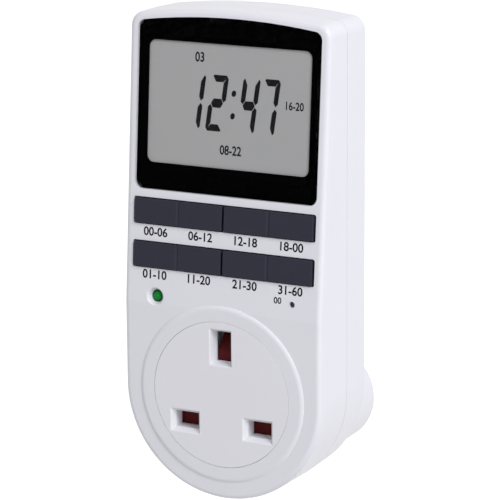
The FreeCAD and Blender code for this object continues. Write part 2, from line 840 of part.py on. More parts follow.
# Contact carrier: chambers for the three contacts, rails for the shutter and the spring's channel
def contact_carrier():
    body = block(-carrier_half_width, carrier_half_width, carrier_front, carrier_back,
                 carrier_bottom, carrier_top)
    rail_front = case_face + front_wall + plate_flange_thickness
    parts = [body]
    for side in (-1, 1):
        x0, x1 = sorted((side * (carrier_half_width - rail_thickness), side * carrier_half_width))
        parts.append(block(x0, x1, rail_front, carrier_front + 3, rail_bottom, carrier_top))
        x0, x1 = sorted((side * (carrier_half_width - 1), side * carrier_ear_reach))
        ear = block(x0, x1, carrier_front, carrier_front + carrier_ear_thickness,
                    outlet_height - carrier_ear_height / 2, outlet_height + carrier_ear_height / 2)
        hole = rod_y(side * carrier_screw_x(), outlet_height, small_screw_radius + thread_clearance,
                     carrier_front - 1, carrier_front + carrier_ear_thickness + 1)
        parts.append(ear.cut(hole))
    channel_half = max(shutter_stem_width / 2, spring_radius + spring_wire / 2) + chamber_gap
    channel_back = shutter_back + foot_depth + chamber_gap
    seat = spring_bottom - spring_gap
    parts.append(block(-channel_half - channel_wall, channel_half + channel_wall, carrier_front,
                       channel_back + channel_wall, seat - channel_wall, carrier_bottom + 1))
    tools = [block(-channel_half, channel_half, carrier_front - 1, channel_back, seat, 1)]
    half_w = line_slot_width / 2 + 0.2
    half_h = line_pin_height / 2 + contact_grip_gap + contact_sheet + chamber_gap
    for side in (-1, 1):
        x = side * line_pin_offset
        tools.append(block(x - half_w, x + half_w, carrier_front - 1, carrier_back + 1, -half_h, half_h))
    half_w = earth_pin_width / 2 + contact_grip_gap + contact_sheet + chamber_gap
    half_h = earth_pin_height / 2 + contact_grip_gap + contact_sheet + chamber_gap
    tools.append(block(-half_w, half_w, carrier_front - 1, carrier_back + 1,
                       earth_rise - half_h, earth_rise + half_h))
    # room for the ramp and the earth collar in the front of the body
    ramp_room = earth_slot_width / 2 + collar_wall + chamber_gap
    z0 = ramp_foot() - shutter_travel - chamber_gap
    y1 = outlet_face + ramp_top_setback + ramp_back + chamber_gap
    tools.append(block(-ramp_room, ramp_room, carrier_front - 1, y1, z0, carrier_top - 0.6))
    for x, z in mirrored(case_screw_places):
        tools.append(rod_y(x, z, case_tube_radius + post_clearance, rail_front - 1, carrier_back + 1))
    return cut(fused(parts), tools)


# Female contacts: a base plate and two leaves that grip a plug pin
def line_contact(x):
    half_w = line_pin_width / 2
    inner = line_pin_height / 2 + contact_grip_gap
    outer = inner + contact_sheet
    y0 = carrier_front + contact_setback
    y1 = carrier_back + contact_sheet
    parts = [block(x - half_w, x + half_w, carrier_back, y1, -outer, outer)]
    parts.append(block(x - half_w, x + half_w, y0, y1, inner, outer))
    parts.append(block(x - half_w, x + half_w, y0, y1, -outer, -inner))
    return fused(parts)


def earth_contact():
    # the leaves are joined above the pin, so that a long earth pin passes between them
    half_h = earth_pin_height / 2
    inner = earth_pin_width / 2 + contact_grip_gap
    outer = inner + contact_sheet
    y0 = outlet_face + ramp_top_setback + ramp_back + contact_setback
    y1 = contact_back()
    top = earth_rise + half_h + contact_grip_gap
    parts = [block(-outer, outer, y0 + earth_bridge_setback, y1, top, top + contact_sheet)]
    parts.append(block(inner, outer, y0, y1, earth_rise - half_h, top + contact_sheet / 2))
    parts.append(block(-outer, -inner, y0, y1, earth_rise - half_h, top + contact_sheet / 2))
    return fused(parts)


def contact_back():
    return carrier_back + contact_sheet


def pin_tail_end():
    return pin_head_back() - retainer_thickness - pin_tail


def neutral_strap():
    return block(-line_pin_offset - strap_width / 2, -line_pin_offset + strap_width / 2,
                 contact_back(), pin_tail_end(), -strap_thickness / 2, strap_thickness / 2)


def earth_strap():
    # runs from the end of one leaf to the side of the earth pin's tail
    x_leaf = earth_pin_width / 2 + contact_grip_gap
    x_tail = earth_pin_width / 2
    z0 = earth_rise - strap_width / 2
    z1 = earth_rise + strap_width / 2
    front = block(x_leaf, x_leaf + strap_thickness, contact_back(), earth_joggle, z0, z1)
    back = block(x_tail, x_tail + strap_thickness, earth_joggle - strap_thickness,
                 pin_head_back() - retainer_thickness, z0, z1)
    return fused([front, back])


# Plug pins
def blade(x, z, width, height, y0, y1):
    solid = block(x - width / 2, x + width / 2, y0, y1, z - height / 2, z + height / 2)
    tip = [edge for edge in solid.Edges if all(abs(vertex.Y - y1) < 1e-6 for vertex in edge.Vertexes)]
    return solid.makeChamfer(pin_tip_chamfer, tip)


def pin_head(x, z, width, height):
    half_w = width / 2 + pin_head_rim
    half_h = height / 2 + pin_head_rim
    return block(x - half_w, x + half_w, pin_head_back(), -base_wall, z - half_h, z + half_h)


def sleeve_room(x):
    return block(x - line_pin_width / 2, x + line_pin_width / 2, -base_wall, sleeve_reach,
                 -line_pin_height / 2, line_pin_height / 2)


def sleeve_core(x):
    inset = sleeve_thickness
    return block(x - line_pin_width / 2 + inset, x + line_pin_width / 2 - inset, -base_wall, sleeve_reach,
                 -line_pin_height / 2 + inset, line_pin_height / 2 - inset)


def line_pin(x):
    whole = blade(x, 0, line_pin_width, line_pin_height, pin_tail_end(), line_pin_reach)
    whole = whole.fuse(pin_head(x, 0, line_pin_width, line_pin_height))
    return whole.cut(sleeve_room(x).cut(sleeve_core(x))).removeSplitter()


def pin_sleeves():
    places = (-line_pin_offset, line_pin_offset)
    return Part.makeCompound([sleeve_room(x).cut(sleeve_core(x)) for x in places])


def earth_pin():
    whole = blade(0, earth_rise, earth_pin_width, earth_pin_height, pin_tail_end(), earth_pin_reach)
    return whole.fuse(pin_head(0, earth_rise, earth_pin_width, earth_pin_height)).removeSplitter()


def pin_retainer():
    # clamps the pin heads against the inside of the plug base
    y1 = pin_head_back()
    y0 = y1 - retainer_thickness
    outline = plug_base_outline(y0, base_wall + 3)
    plate = prism(outline, retainer_thickness)
    tools = []
    for x in (-line_pin_offset, line_pin_offset):
        tools.append(block(x - line_pin_width / 2, x + line_pin_width / 2, y0 - 1, y1 + 1,
                           -line_pin_height / 2, line_pin_height / 2))
        side = math.copysign(retainer_screw_x, x)
        tools.append(rod_y(side, retainer_screw_z, small_screw_radius + thread_clearance, y0 - 1, y1 + 1))
    tools.append(block(-earth_pin_width / 2, earth_pin_width / 2, y0 - 1, y1 + 1,
                       earth_rise - earth_pin_height / 2, earth_rise + earth_pin_height / 2))
    for x, z in mirrored(case_screw_places[2:]):
        tools.append(rod_y(x, z, case_tube_radius + post_clearance, y0 - 1, y1 + 1))
    return cut(plate, tools)


# Display stack on the upper face
def display_lens():
    lens = prism(lens_outline(lens_sink, 0), lens_thickness)
    return leaning(lens)


def display_mask():
    y0 = lens_sink + lens_thickness
    mask = prism(lens_outline(y0, 0), mask_thickness)
    view = rounded_block(-view_half_width, view_half_width, y0 - 1, y0 + 1, view_bottom, view_top,
                         view_corner_radius)
    return leaning(mask.cut(view))


def panel_front():
    return lens_sink + lens_thickness + mask_thickness + panel_play


def lcd_panel():
    glass = block(-panel_half_width, panel_half_width, panel_front(), panel_front() + panel_thickness,
                  panel_bottom, panel_top)
    return leaning(glass)


def lcd_frame():
    inner_x = panel_half_width + panel_play
    inner_bottom = panel_bottom - panel_play
    inner_top = panel_top + panel_play
    outer = block(-inner_x - frame_rim, inner_x + frame_rim, front_wall, control_depth,
                  inner_bottom - frame_rim, inner_top + frame_rim)
    room = block(-inner_x, inner_x, front_wall - 1, panel_front() + panel_thickness, inner_bottom, inner_top)
    shelf = block(-inner_x + frame_shelf, inner_x - frame_shelf, front_wall, control_depth + 1,
                  inner_bottom, inner_top)
    return leaning(cut(outer, [room, shelf]))


def zebra_strips():
    y0 = panel_front() + panel_thickness
    strips = []
    for z0 in (panel_bottom + zebra_rim, panel_top - zebra_width - zebra_rim):
        strips.append(block(-zebra_half_length, zebra_half_length, y0, control_depth, z0, z0 + zebra_width))
    return leaning(Part.makeCompound(strips))


# Rocker keys
def rocker_key(side, bottom):
    # one moulding that serves two functions, one at each end
    x_inner = key_middle_gap / 2
    x_outer = key_slot_half_width - key_end_gap
    centre = side * key_centre_x()
    x0, x1 = sorted((side * x_inner, side * x_outer))
    z0 = bottom + key_side_gap
    z1 = bottom + key_slot_height - key_side_gap
    y1 = key_cap_thickness - key_proud
    cap = block(x0, x1, -key_proud, y1, z0, z1)
    rim = [edge for edge in cap.Edges if abs(edge.CenterOfMass.y - y1) > 1e-6]
    cap = cap.makeFillet(key_edge_radius, rim)
    groove = Part.makePolygon([Vector(centre - key_groove_width / 2, -key_proud, z0 - 1),
                               Vector(centre + key_groove_width / 2, -key_proud, z0 - 1),
                               Vector(centre, -key_proud + key_groove_depth, z0 - 1),
                               Vector(centre - key_groove_width / 2, -key_proud, z0 - 1)])
    cap = cap.cut(Part.Face(groove).extrude(Vector(0, 0, z1 - z0 + 2)))
    web_end = key_pin_depth + key_pin_radius
    under = y1 - 0.2
    web = block(centre - key_pin_radius, centre + key_pin_radius, under, key_pin_depth, z0 + 0.5, z1 - 0.5)
    pin = rod_z(centre, key_pin_depth, key_pin_radius, z0 - key_pin_reach, z1 + key_pin_reach)
    parts = [cap, web, pin]
    half = key_leg_size / 2
    middle = (z0 + z1) / 2
    for offset in (-key_leg_offset, key_leg_offset):
        parts.append(block(centre + offset - half, centre + offset + half, under, key_leg_tip,
                           middle - half, middle + half))
    return leaning(fused(parts))


def key_switches():
    switches = []
    stem_top = key_leg_tip + key_switch_gap
    for bottom in key_row_bottoms:
        middle = key_row_centre(bottom)
        for side in (-1, 1):
            for offset in (-key_leg_offset, key_leg_offset):
                x = side * key_centre_x() + offset
                half = switch_size / 2
                body = block(x - half, x + half, stem_top + switch_stem_height, control_depth,
                             middle - half, middle + half)
                stem = rod_y(x, middle, switch_stem_radius, stem_top, stem_top + switch_stem_height + 0.5)
                switches.append(fused([body, stem]))
    return leaning(Part.makeCompound(switches))


# Status lamp
def status_lamp():
    tip = lamp_sink
    dome = Part.makeSphere(lamp_radius, Vector(lamp_x, tip + lamp_radius, lamp_v))
    barrel = rod_y(lamp_x, lamp_v, lamp_radius, tip + lamp_radius, tip + lamp_length)
    flange = rod_y(lamp_x, lamp_v, lamp_flange_radius, tip + lamp_length - 1, tip + lamp_length)
    return leaning(fused([dome, barrel, flange]))


def lamp_leads():
    half = lamp_lead_size / 2
    leads = []
    for side in (-1, 1):
        x = lamp_x + side * lamp_lead_offset
        leads.append(block(x - half, x + half, lamp_sink + lamp_length, control_back + 0.8,
                           lamp_v - half, lamp_v + half))
    return leaning(Part.makeCompound(leads))


# Reset plunger and its switch
def reset_plunger():
    y0 = reset_face_wall + reset_play
    shaft = rod_y(reset_x, reset_v, reset_radius, y0, y0 + reset_length)
    y1 = y0 + reset_length
    collar = rod_y(reset_x, reset_v, reset_radius + reset_flange, y1 - 0.5, y1)
    return leaning(fused([shaft, collar]))


def reset_switch():
    top = reset_face_wall + reset_play + reset_length + reset_travel + reset_play
    half = reset_switch_size / 2
    body = block(reset_x - half, reset_x + half, top + 0.6, control_depth, reset_v - half, reset_v + half)
    stem = rod_y(reset_x, reset_v, 1.0, top, top + 1)
    return leaning(fused([body, stem]))


# Boards and what they carry
def control_board():
    board = block(-control_half_width, control_half_width, control_depth, control_back,
                  control_bottom, control_top)
    tools = []
    for side in (-1, 1):
        inset_low, v_low = control_notch_low
        inset_high, v_high = control_notch_high
        x0, x1 = sorted((side * (control_half_width - inset_low), side * (control_half_width + 1)))
        tools.append(block(x0, x1, control_depth - 1, control_back + 1, control_bottom - 1, v_low))
        x0, x1 = sorted((side * (control_half_width - inset_high), side * (control_half_width + 1)))
        tools.append(block(x0, x1, control_depth - 1, control_back + 1, v_high, control_top + 1))
    for x, z in mirrored(control_screw_places):
        tools.append(rod_y(x, z, small_screw_radius + thread_clearance, control_depth - 1, control_back + 1))
    half = lamp_lead_size / 2
    for side in (-1, 1):
        x = lamp_x + side * lamp_lead_offset
        tools.append(block(x - half, x + half, control_depth - 1, control_back + 1,
                           lamp_v - half, lamp_v + half))
    return leaning(cut(board, tools))


def controller_chip():
    x, v = chip_place
    dome = Part.makeSphere(chip_dome_radius, Vector(x, control_back + chip_height - chip_dome_radius, v))
    return leaning(dome.common(rod_y(x, v, chip_radius, control_back, control_back + 2 * chip_height)))


def clock_crystal():
    x, v = crystal_place
    return leaning(rod_x(x, x + crystal_length, control_back + crystal_radius, v, crystal_radius))


def backup_battery():
    return leaning(rod_y(*battery_place, battery_radius, control_back, control_back + battery_height))


def power_board():
    y0 = power_front()
    board = block(-power_half_width, power_half_width, y0, y0 + power_thickness, power_bottom, power_top)
    tools = []
    for x, z in mirrored(power_screw_places):
        tools.append(rod_y(x, z, small_screw_radius + thread_clearance, y0 - 1, y0 + power_thickness + 1))
    return cut(board, tools)


def boxed_component(x, rise, size, edge_radius):
    # a box on the front of the power board, from x to the right, with rounded front edges
    length, depth, height = size
    y0 = power_front() - depth
    body = block(x, x + length, y0, power_front(), power_bottom + rise, power_bottom + rise + height)
    return body.makeFillet(edge_radius, [edge for edge in body.Edges if abs(edge.CenterOfMass.y - y0) < 1e-6])


def relay():
    x = power_half_width - relay_inset - relay_size[0]
    return boxed_component(x, relay_rise, relay_size, relay_edge_radius)


def dropper_capacitor():
    return boxed_component(dropper_inset - power_half_width, dropper_rise, dropper_size, dropper_edge_radius)


def smoothing_capacitor():
    return rod_x(smoothing_start, smoothing_start + smoothing_length, power_front() - smoothing_radius,
                 power_bottom + smoothing_rise, smoothing_radius)


def varistor():
    y1 = power_front()
    return rod_y(varistor_inset - power_half_width, power_bottom + varistor_rise, varistor_radius,
                 y1 - varistor_thickness, y1)


def rectifier_diodes():
    x1 = power_half_width - diode_inset
    y = power_front() - diode_radius
    diodes = []
    for row in range(4):
        z = power_bottom + diode_rise + row * diode_pitch
        diodes.append(rod_x(x1 - diode_length, x1, y, z, diode_radius))
    return Part.makeCompound(diodes)


def surge_resistor():
    x0 = resistor_inset - power_half_width
    return rod_x(x0, x0 + resistor_length, power_front() - resistor_radius, power_bottom + resistor_rise,
                 resistor_radius)


# Wires and the link between the boards
def wire_path(points, radius):
    parts = []
    for start, end in zip(points[:-1], points[1:]):
        a = Vector(*start)
        b = Vector(*end)
        parts.append(Part.makeCylinder(radius, a.distanceToPoint(b), a, b - a))
    for point in points[1:-1]:
        parts.append(Part.makeSphere(radius, Vector(*point)))
    return fused(parts)


def wire_run():
    return power_front() - wire_radius - wire_gap


def live_supply_wire():
    y_tail = pin_tail_end()
    y_run = wire_run()
    dx, dy, z_turn = supply_turn_place
    return wire_path(((line_pin_offset, y_tail, 0), (line_pin_offset, y_tail - supply_wire_lead, 0),
                      (supply_wire_x + dx, y_run + dy, z_turn), (supply_wire_x, y_run, wire_bend),
                      (supply_wire_x, y_run, wire_end)), wire_radius)


def live_load_wire():
    y_start = contact_back()
    y_run = wire_run()
    return wire_path(((line_pin_offset, y_start, 0), (line_pin_offset, y_start + load_wire_lead[0], 0),
                      (load_wire_x, y_start + load_wire_lead[1], load_turn_height),
                      (load_wire_x, y_run, wire_bend), (load_wire_x, y_run, wire_end)), wire_radius)


def neutral_wire():
    y_start = contact_back() + neutral_wire_lead
    y_run = wire_run()
    z_start = strap_thickness / 2
    return wire_path(((-line_pin_offset, y_start, z_start),
                      (-line_pin_offset, y_start, z_start + neutral_wire_rise),
                      (neutral_wire_x, y_run, wire_bend), (neutral_wire_x, y_run, wire_end)), wire_radius)


def board_link():
    # a flat cable between the two boards, square to the control board's back
    z = power_bottom + link_rise
    depth = (z - bend_height) * math.sin(lean)
    y0 = case_face + (control_back + depth) / math.cos(lean) + link_gap
    half = link_thickness / 2
    return block(-link_half_width, link_half_width, y0, power_front(), z - half, z + half)


# Fasteners
def screw(x, z, seat, radius, head_radius, head_height, length):
    # the head's underside lies on the seat, and the shank points to the front
    head = rod_y(x, z, head_radius, seat, seat + head_height)
    top = seat + head_height
    rim = [edge for edge in head.Edges if all(abs(vertex.Y - top) < 1e-6 for vertex in edge.Vertexes)]
    head = head.makeFillet(head_height / 3, rim)
    shank = rod_y(x, z, radius, seat - length, seat)
    slot_depth = head_height / 2
    arm = head_radius * 0.65
    half = head_radius * 0.14
    cross = [block(x - arm, x + arm, seat + slot_depth, top + 1, z - half, z + half),
             block(x - half, x + half, seat + slot_depth, top + 1, z - arm, z + arm)]
    return cut(fused([head, shank]), cross)


def small_screw(x, z, seat):
    return screw(x, z, seat, small_screw_radius, small_screw_head_radius, small_screw_head_height,
                 small_screw_length)


def case_screws():
    solids = []
    for x, z in mirrored(case_screw_places):
        solids.append(screw(x, z, case_screw_seat_plane(), case_screw_radius, case_screw_head_radius,
                            case_screw_head_height, case_screw_length))
    return Part.makeCompound(solids)


def flipped(solid, x, z, seat):
    # turned about the vertical axis, so that the shank points to the wall
    turned = solid.copy()
    turned.rotate(Vector(x, seat, z), Vector(0, 0, 1), 180)
    return turned


def board_screws():
    solids = []
    for x, z in mirrored(control_screw_places):
        solids.append(leaning(small_screw(x, z, control_back)))
    seat = carrier_front + carrier_ear_thickness
    for side in (-1, 1):
        solids.append(small_screw(side * carrier_screw_x(), outlet_height, seat))
    return Part.makeCompound(solids)


def short_screw(x, z, seat, length):
    # its shank points to the wall
    solid = screw(x, z, seat, small_screw_radius, small_screw_head_radius, small_screw_head_height, length)
    return flipped(solid, x, z, seat)


def retainer_screw_length():
    return retainer_thickness + pin_head_thickness + base_wall - blind_wall


def retainer_screws():
    seat = pin_head_back() - retainer_thickness
    places = ((-retainer_screw_x, retainer_screw_z), (retainer_screw_x, retainer_screw_z))
    return Part.makeCompound([short_screw(x, z, seat, retainer_screw_length()) for x, z in places])


def power_screw_length():
    return power_thickness + power_standoff + rear_wall - blind_wall


def power_screws():
    places = mirrored(power_screw_places)
    return Part.makeCompound([short_screw(x, z, power_front(), power_screw_length()) for x, z in places])


def all_parts():
    parts = {
        "front_shell": front_shell(),
        "rear_shell": rear_shell(),
        "socket_plate": socket_plate(),
        "shutter": shutter(),
        "shutter_spring": shutter_spring(),
        "contact_carrier": contact_carrier(),
        "live_contact": line_contact(line_pin_offset),
        "neutral_contact": line_contact(-line_pin_offset),
        "earth_contact": earth_contact(),
        "neutral_strap": neutral_strap(),
        "earth_strap": earth_strap(),
        "live_pin": line_pin(line_pin_offset),
        "neutral_pin": line_pin(-line_pin_offset),
        "earth_pin": earth_pin(),
        "pin_sleeves": pin_sleeves(),
        "pin_retainer": pin_retainer(),
        "display_lens": display_lens(),
        "display_mask": display_mask(),
        "lcd_panel": lcd_panel(),
        "lcd_frame": lcd_frame(),
        "zebra_strips": zebra_strips(),
        "key_switches": key_switches(),
        "status_lamp": status_lamp(),
        "lamp_leads": lamp_leads(),
        "reset_plunger": reset_plunger(),
        "reset_switch": reset_switch(),
        "control_board": control_board(),
        "controller_chip": controller_chip(),
        "clock_crystal": clock_crystal(),
        "backup_battery": backup_battery(),
        "power_board": power_board(),
        "relay": relay(),
        "dropper_capacitor": dropper_capacitor(),
        "smoothing_capacitor": smoothing_capacitor(),
        "varistor": varistor(),
        "rectifier_diodes": rectifier_diodes(),
        "surge_resistor": surge_resistor(),
        "live_supply_wire": live_supply_wire(),
        "live_load_wire": live_load_wire(),
        "neutral_wire": neutral_wire(),
        "board_link": board_link(),
        "case_screws": case_screws(),
        "board_screws": board_screws(),
        "retainer_screws": retainer_screws(),
        "power_screws": power_screws(),
    }
    for row, bottom in zip(("lower", "upper"), key_row_bottoms):
        for column, side in (("left", -1), ("right", 1)):
            parts[f"key_{row}_{column}"] = rocker_key(side, bottom)
    return parts


os.makedirs("parts", exist_ok=True)
for name, solid in all_parts().items():
    solid.exportStep(f"parts/{name}.step")
    box = solid.BoundBox
    print(f"{name:22s} solids {len(solid.Solids):2d}  valid {solid.isValid()}  "
          f"x {box.XMin:7.2f} {box.XMax:7.2f}  y {box.YMin:7.2f} {box.YMax:7.2f}  "
          f"z {box.ZMin:7.2f} {box.ZMax:7.2f}")
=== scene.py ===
import json
import math
import bmesh
import bpy
from mathutils import Matrix, Vector


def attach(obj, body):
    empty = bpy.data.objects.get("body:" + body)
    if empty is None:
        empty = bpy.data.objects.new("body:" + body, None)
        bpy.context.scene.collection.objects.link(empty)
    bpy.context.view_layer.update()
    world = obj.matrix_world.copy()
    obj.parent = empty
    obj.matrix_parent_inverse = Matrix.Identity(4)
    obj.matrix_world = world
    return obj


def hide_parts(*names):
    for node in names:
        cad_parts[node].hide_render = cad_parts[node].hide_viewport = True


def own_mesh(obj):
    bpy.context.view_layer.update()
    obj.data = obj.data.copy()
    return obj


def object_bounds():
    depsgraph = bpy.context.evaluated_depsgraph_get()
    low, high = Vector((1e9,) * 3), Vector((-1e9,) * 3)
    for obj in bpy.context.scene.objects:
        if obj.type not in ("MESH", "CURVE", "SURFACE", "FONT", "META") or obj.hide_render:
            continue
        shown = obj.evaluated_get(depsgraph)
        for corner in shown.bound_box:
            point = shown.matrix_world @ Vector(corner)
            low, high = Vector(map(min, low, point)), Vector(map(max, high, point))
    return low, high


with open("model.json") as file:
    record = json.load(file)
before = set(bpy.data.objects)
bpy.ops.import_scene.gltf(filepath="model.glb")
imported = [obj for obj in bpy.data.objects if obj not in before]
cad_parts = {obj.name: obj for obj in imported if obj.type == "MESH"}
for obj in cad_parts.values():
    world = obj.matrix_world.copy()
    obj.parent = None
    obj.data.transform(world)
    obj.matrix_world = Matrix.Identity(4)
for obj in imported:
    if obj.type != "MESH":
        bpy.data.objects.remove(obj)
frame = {"nodes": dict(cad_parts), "record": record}
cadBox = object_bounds()
scene = bpy.context.scene
mm = 0.001
print("frame loaded:", len(frame["nodes"]), "nodes")

# Plug-in seven-day timer for a BS 1363 outlet. The CAD nodes keep their shapes and get their finishes here.
# New pieces are the printed numbers on the casing, the dark figures of the display, and a copy of the
# shutter's spring.


def hexColor(text):      # sRGB hex to the linear colour that the shaders take
    channels = [int(text[i:i + 2], 16) / 255 for i in (1, 3, 5)]
    linear = [c / 12.92 if c <= 0.04045 else ((c + 0.055) / 1.055) ** 2.4 for c in channels]
    return (*linear, 1.0)


def addNode(tree, kind, settings=None, inputs=None):
    node = tree.nodes.new(kind)
    for name, value in (settings or {}).items():
        setattr(node, name, value)
    for name, value in (inputs or {}).items():
        if isinstance(value, bpy.types.NodeSocket):
            tree.links.new(value, node.inputs[name])
        else:
            node.inputs[name].default_value = value
    return node


# Camera: fitted to the photograph from the outlet's apertures, keys, display and outline
camera = {
    "place": (337.06, -685.83, 229.04),      # mm
    "azimuth": 26.985,                       # degrees to the right of straight on
    "elevation": 13.885,
    "roll": -0.388,
    "lens": 200.86,                          # mm
    "sensor": 36,                            # mm across
    "nearest": 0.01,                         # metres from the lens that are cut away
}
azimuth, elevation, roll = (math.radians(camera[k]) for k in ("azimuth", "elevation", "roll"))
forward = Vector((-math.sin(azimuth) * math.cos(elevation), math.cos(azimuth) * math.cos(elevation),
                  -math.sin(elevation)))
level = Vector((math.cos(azimuth), math.sin(azimuth), 0))
upright = level.cross(forward)
right = level * math.cos(roll) + upright * math.sin(roll)
upward = upright * math.cos(roll) - level * math.sin(roll)
cameraData = bpy.data.cameras.new("camera")
cameraData.lens = camera["lens"]
cameraData.sensor_width = camera["sensor"]
cameraData.clip_start = camera["nearest"]
cameraObject = bpy.data.objects.new("camera", cameraData)
cameraObject.matrix_world = (Matrix.Translation(Vector(camera["place"]) * mm)
                             @ Matrix((right, upward, -forward)).transposed().to_4x4())
scene.collection.objects.link(cameraObject)
scene.camera = cameraObject
print("camera placed")

# Light: one large soft lamp to the right, above the eye, a small low one whose glint runs down the casing's
# upright edge, and a pale room all round
lamps = {
    "keyLamp": {"azimuth": 60, "elevation": 38, "distance": 1.2, "size": 0.5, "power": 7.8,
                "color": "#f9f9ff"},
    "edgeLamp": {"azimuth": 60, "elevation": -14, "distance": 1.2, "size": 0.3, "power": 3.2,
                 "color": "#ffffff"},
}
middleOfCase = Vector((0, -0.02, 0.045))
for name, lamp in lamps.items():
    side, height = math.radians(lamp["azimuth"]), math.radians(lamp["elevation"])
    toward = Vector((math.sin(side) * math.cos(height), -math.cos(side) * math.cos(height),
                     math.sin(height)))
    lampData = bpy.data.lights.new(name, "AREA")
    lampData.shape = "DISK"
    lampData.size = lamp["size"]
    lampData.energy = lamp["power"]
    lampData.color = hexColor(lamp["color"])[:3]
    lampObject = bpy.data.objects.new(name, lampData)
    lampObject.location = middleOfCase + toward * lamp["distance"]
    lampObject.rotation_euler = toward.to_track_quat("Z", "Y").to_euler()
    scene.collection.objects.link(lampObject)

room = {
    "wall": "#ffffff",
    "wallLight": 0.6,        # what the pale room gives the object
    "floorTone": "#cccccc",
    "floorLift": 0.75,       # what the camera sees above the lit floor, so that it reads white
    "floorDrop": 0.2,        # the timer hangs on its pins, so the floor is well below it
    "floorHalf": 3.0,
}


def seenDirectly(tree):
    # 1 for what the camera, a reflection or a clear piece shows, 0 for what lights the object
    path = addNode(tree, "ShaderNodeLightPath")
    seen = path.outputs["Is Camera Ray"]
    for ray in ("Is Glossy Ray", "Is Transmission Ray"):
        seen = addNode(tree, "ShaderNodeMath", {"operation": "MAXIMUM"},
                       {0: seen, 1: path.outputs[ray]}).outputs[0]
    return seen


world = bpy.data.worlds.new("paleRoom")
world.use_nodes = True
scene.world = world
world.node_tree.nodes.clear()
wallLight = addNode(world.node_tree, "ShaderNodeBackground", None,
                    {"Color": hexColor(room["wall"]), "Strength": room["wallLight"]})
wallSeen = addNode(world.node_tree, "ShaderNodeBackground", None,
                   {"Color": hexColor(room["wall"]), "Strength": 1.0})
wallMix = addNode(world.node_tree, "ShaderNodeMixShader", None,
                  {0: seenDirectly(world.node_tree), 1: wallLight.outputs[0], 2: wallSeen.outputs[0]})
addNode(world.node_tree, "ShaderNodeOutputWorld", None, {"Surface": wallMix.outputs[0]})

floorMaterial = bpy.data.materials.new("paleStudioFloor")
floorMaterial.use_nodes = True
floorTree = floorMaterial.node_tree
floorTree.nodes.clear()
floorPaint = addNode(floorTree, "ShaderNodeBsdfDiffuse", None, {"Color": hexColor(room["floorTone"])})
floorLift = addNode(floorTree, "ShaderNodeMath", {"operation": "MULTIPLY"},
                    {0: seenDirectly(floorTree), 1: room["floorLift"]})
floorGlow = addNode(floorTree, "ShaderNodeEmission", None, {"Strength": floorLift.outputs[0]})
floorSum = addNode(floorTree, "ShaderNodeAddShader", None,
                   {0: floorPaint.outputs[0], 1: floorGlow.outputs[0]})
addNode(floorTree, "ShaderNodeOutputMaterial", None, {"Surface": floorSum.outputs[0]})

floorMesh = bpy.data.meshes.new("floor")
floorShape = bmesh.new()
bmesh.ops.create_grid(floorShape, x_segments=2, y_segments=2, size=room["floorHalf"])
bmesh.ops.translate(floorShape, verts=floorShape.verts, vec=(0, 0, cadBox[0][2] - room["floorDrop"]))
floorShape.to_mesh(floorMesh)
floorShape.free()
floorObject = bpy.data.objects.new("floor", floorMesh)
floorObject.data.materials.append(floorMaterial)
scene.collection.objects.link(floorObject)
print("room and lamps made")


# Finishes. Each slot of the record has one material, with its patterns sized in millimetres on Object
# coordinates. Two more are inks for the figures.
def newFinish(name):
    material = bpy.data.materials.new(name)
    material.use_nodes = True
    tree = material.node_tree
    tree.nodes.clear()
    return material, tree, addNode(tree, "ShaderNodeTexCoord").outputs["Object"]


def grained(name, look):
    # A moulded, cast or plated skin: slow drift of tone, fine grain that breaks up the gloss, and a shallow
    # bump. Stretch above 1 on an axis draws the grain out along it, as rolling or drawing does.
    material, tree, place = newFinish(name)
    stretch = look.get("stretch", (1, 1, 1))
    if stretch != (1, 1, 1):
        place = addNode(tree, "ShaderNodeMapping", None,
                        {"Vector": place, "Scale": tuple(1 / s for s in stretch)}).outputs[0]
    drift = addNode(tree, "ShaderNodeTexNoise", None,
                    {"Vector": place, "Scale": 1 / (look.get("driftMm", 14) * mm), "Detail": 2.0})
    grain = addNode(tree, "ShaderNodeTexNoise", None,
                    {"Vector": place, "Scale": 1 / (look["grainMm"] * mm), "Detail": 3.0, "Roughness": 0.6})
    tone = addNode(tree, "ShaderNodeMix", {"data_type": "RGBA"},
                   {0: drift.outputs[0], 6: hexColor(look["color"]), 7: hexColor(look["shade"])})
    gloss = addNode(tree, "ShaderNodeMapRange", None,
                    {"Value": grain.outputs[0], "From Min": 0.3, "From Max": 0.7,
                     "To Min": look["rough"][0], "To Max": look["rough"][1]})
    bump = addNode(tree, "ShaderNodeBump", None,
                   {"Strength": 0.3, "Distance": look["depthMm"] * mm, "Height": grain.outputs[0]})
    skin = addNode(tree, "ShaderNodeBsdfPrincipled", None,
                   {"Base Color": tone.outputs[2], "Roughness": gloss.outputs[0], "Normal": bump.outputs[0],
                    "Metallic": look.get("metallic", 0.0), "Specular IOR Level": look.get("specular", 0.5),
                    "Alpha": look.get("alpha", 1.0)})
    addNode(tree, "ShaderNodeOutputMaterial", None, {"Surface": skin.outputs[0]})
    return material


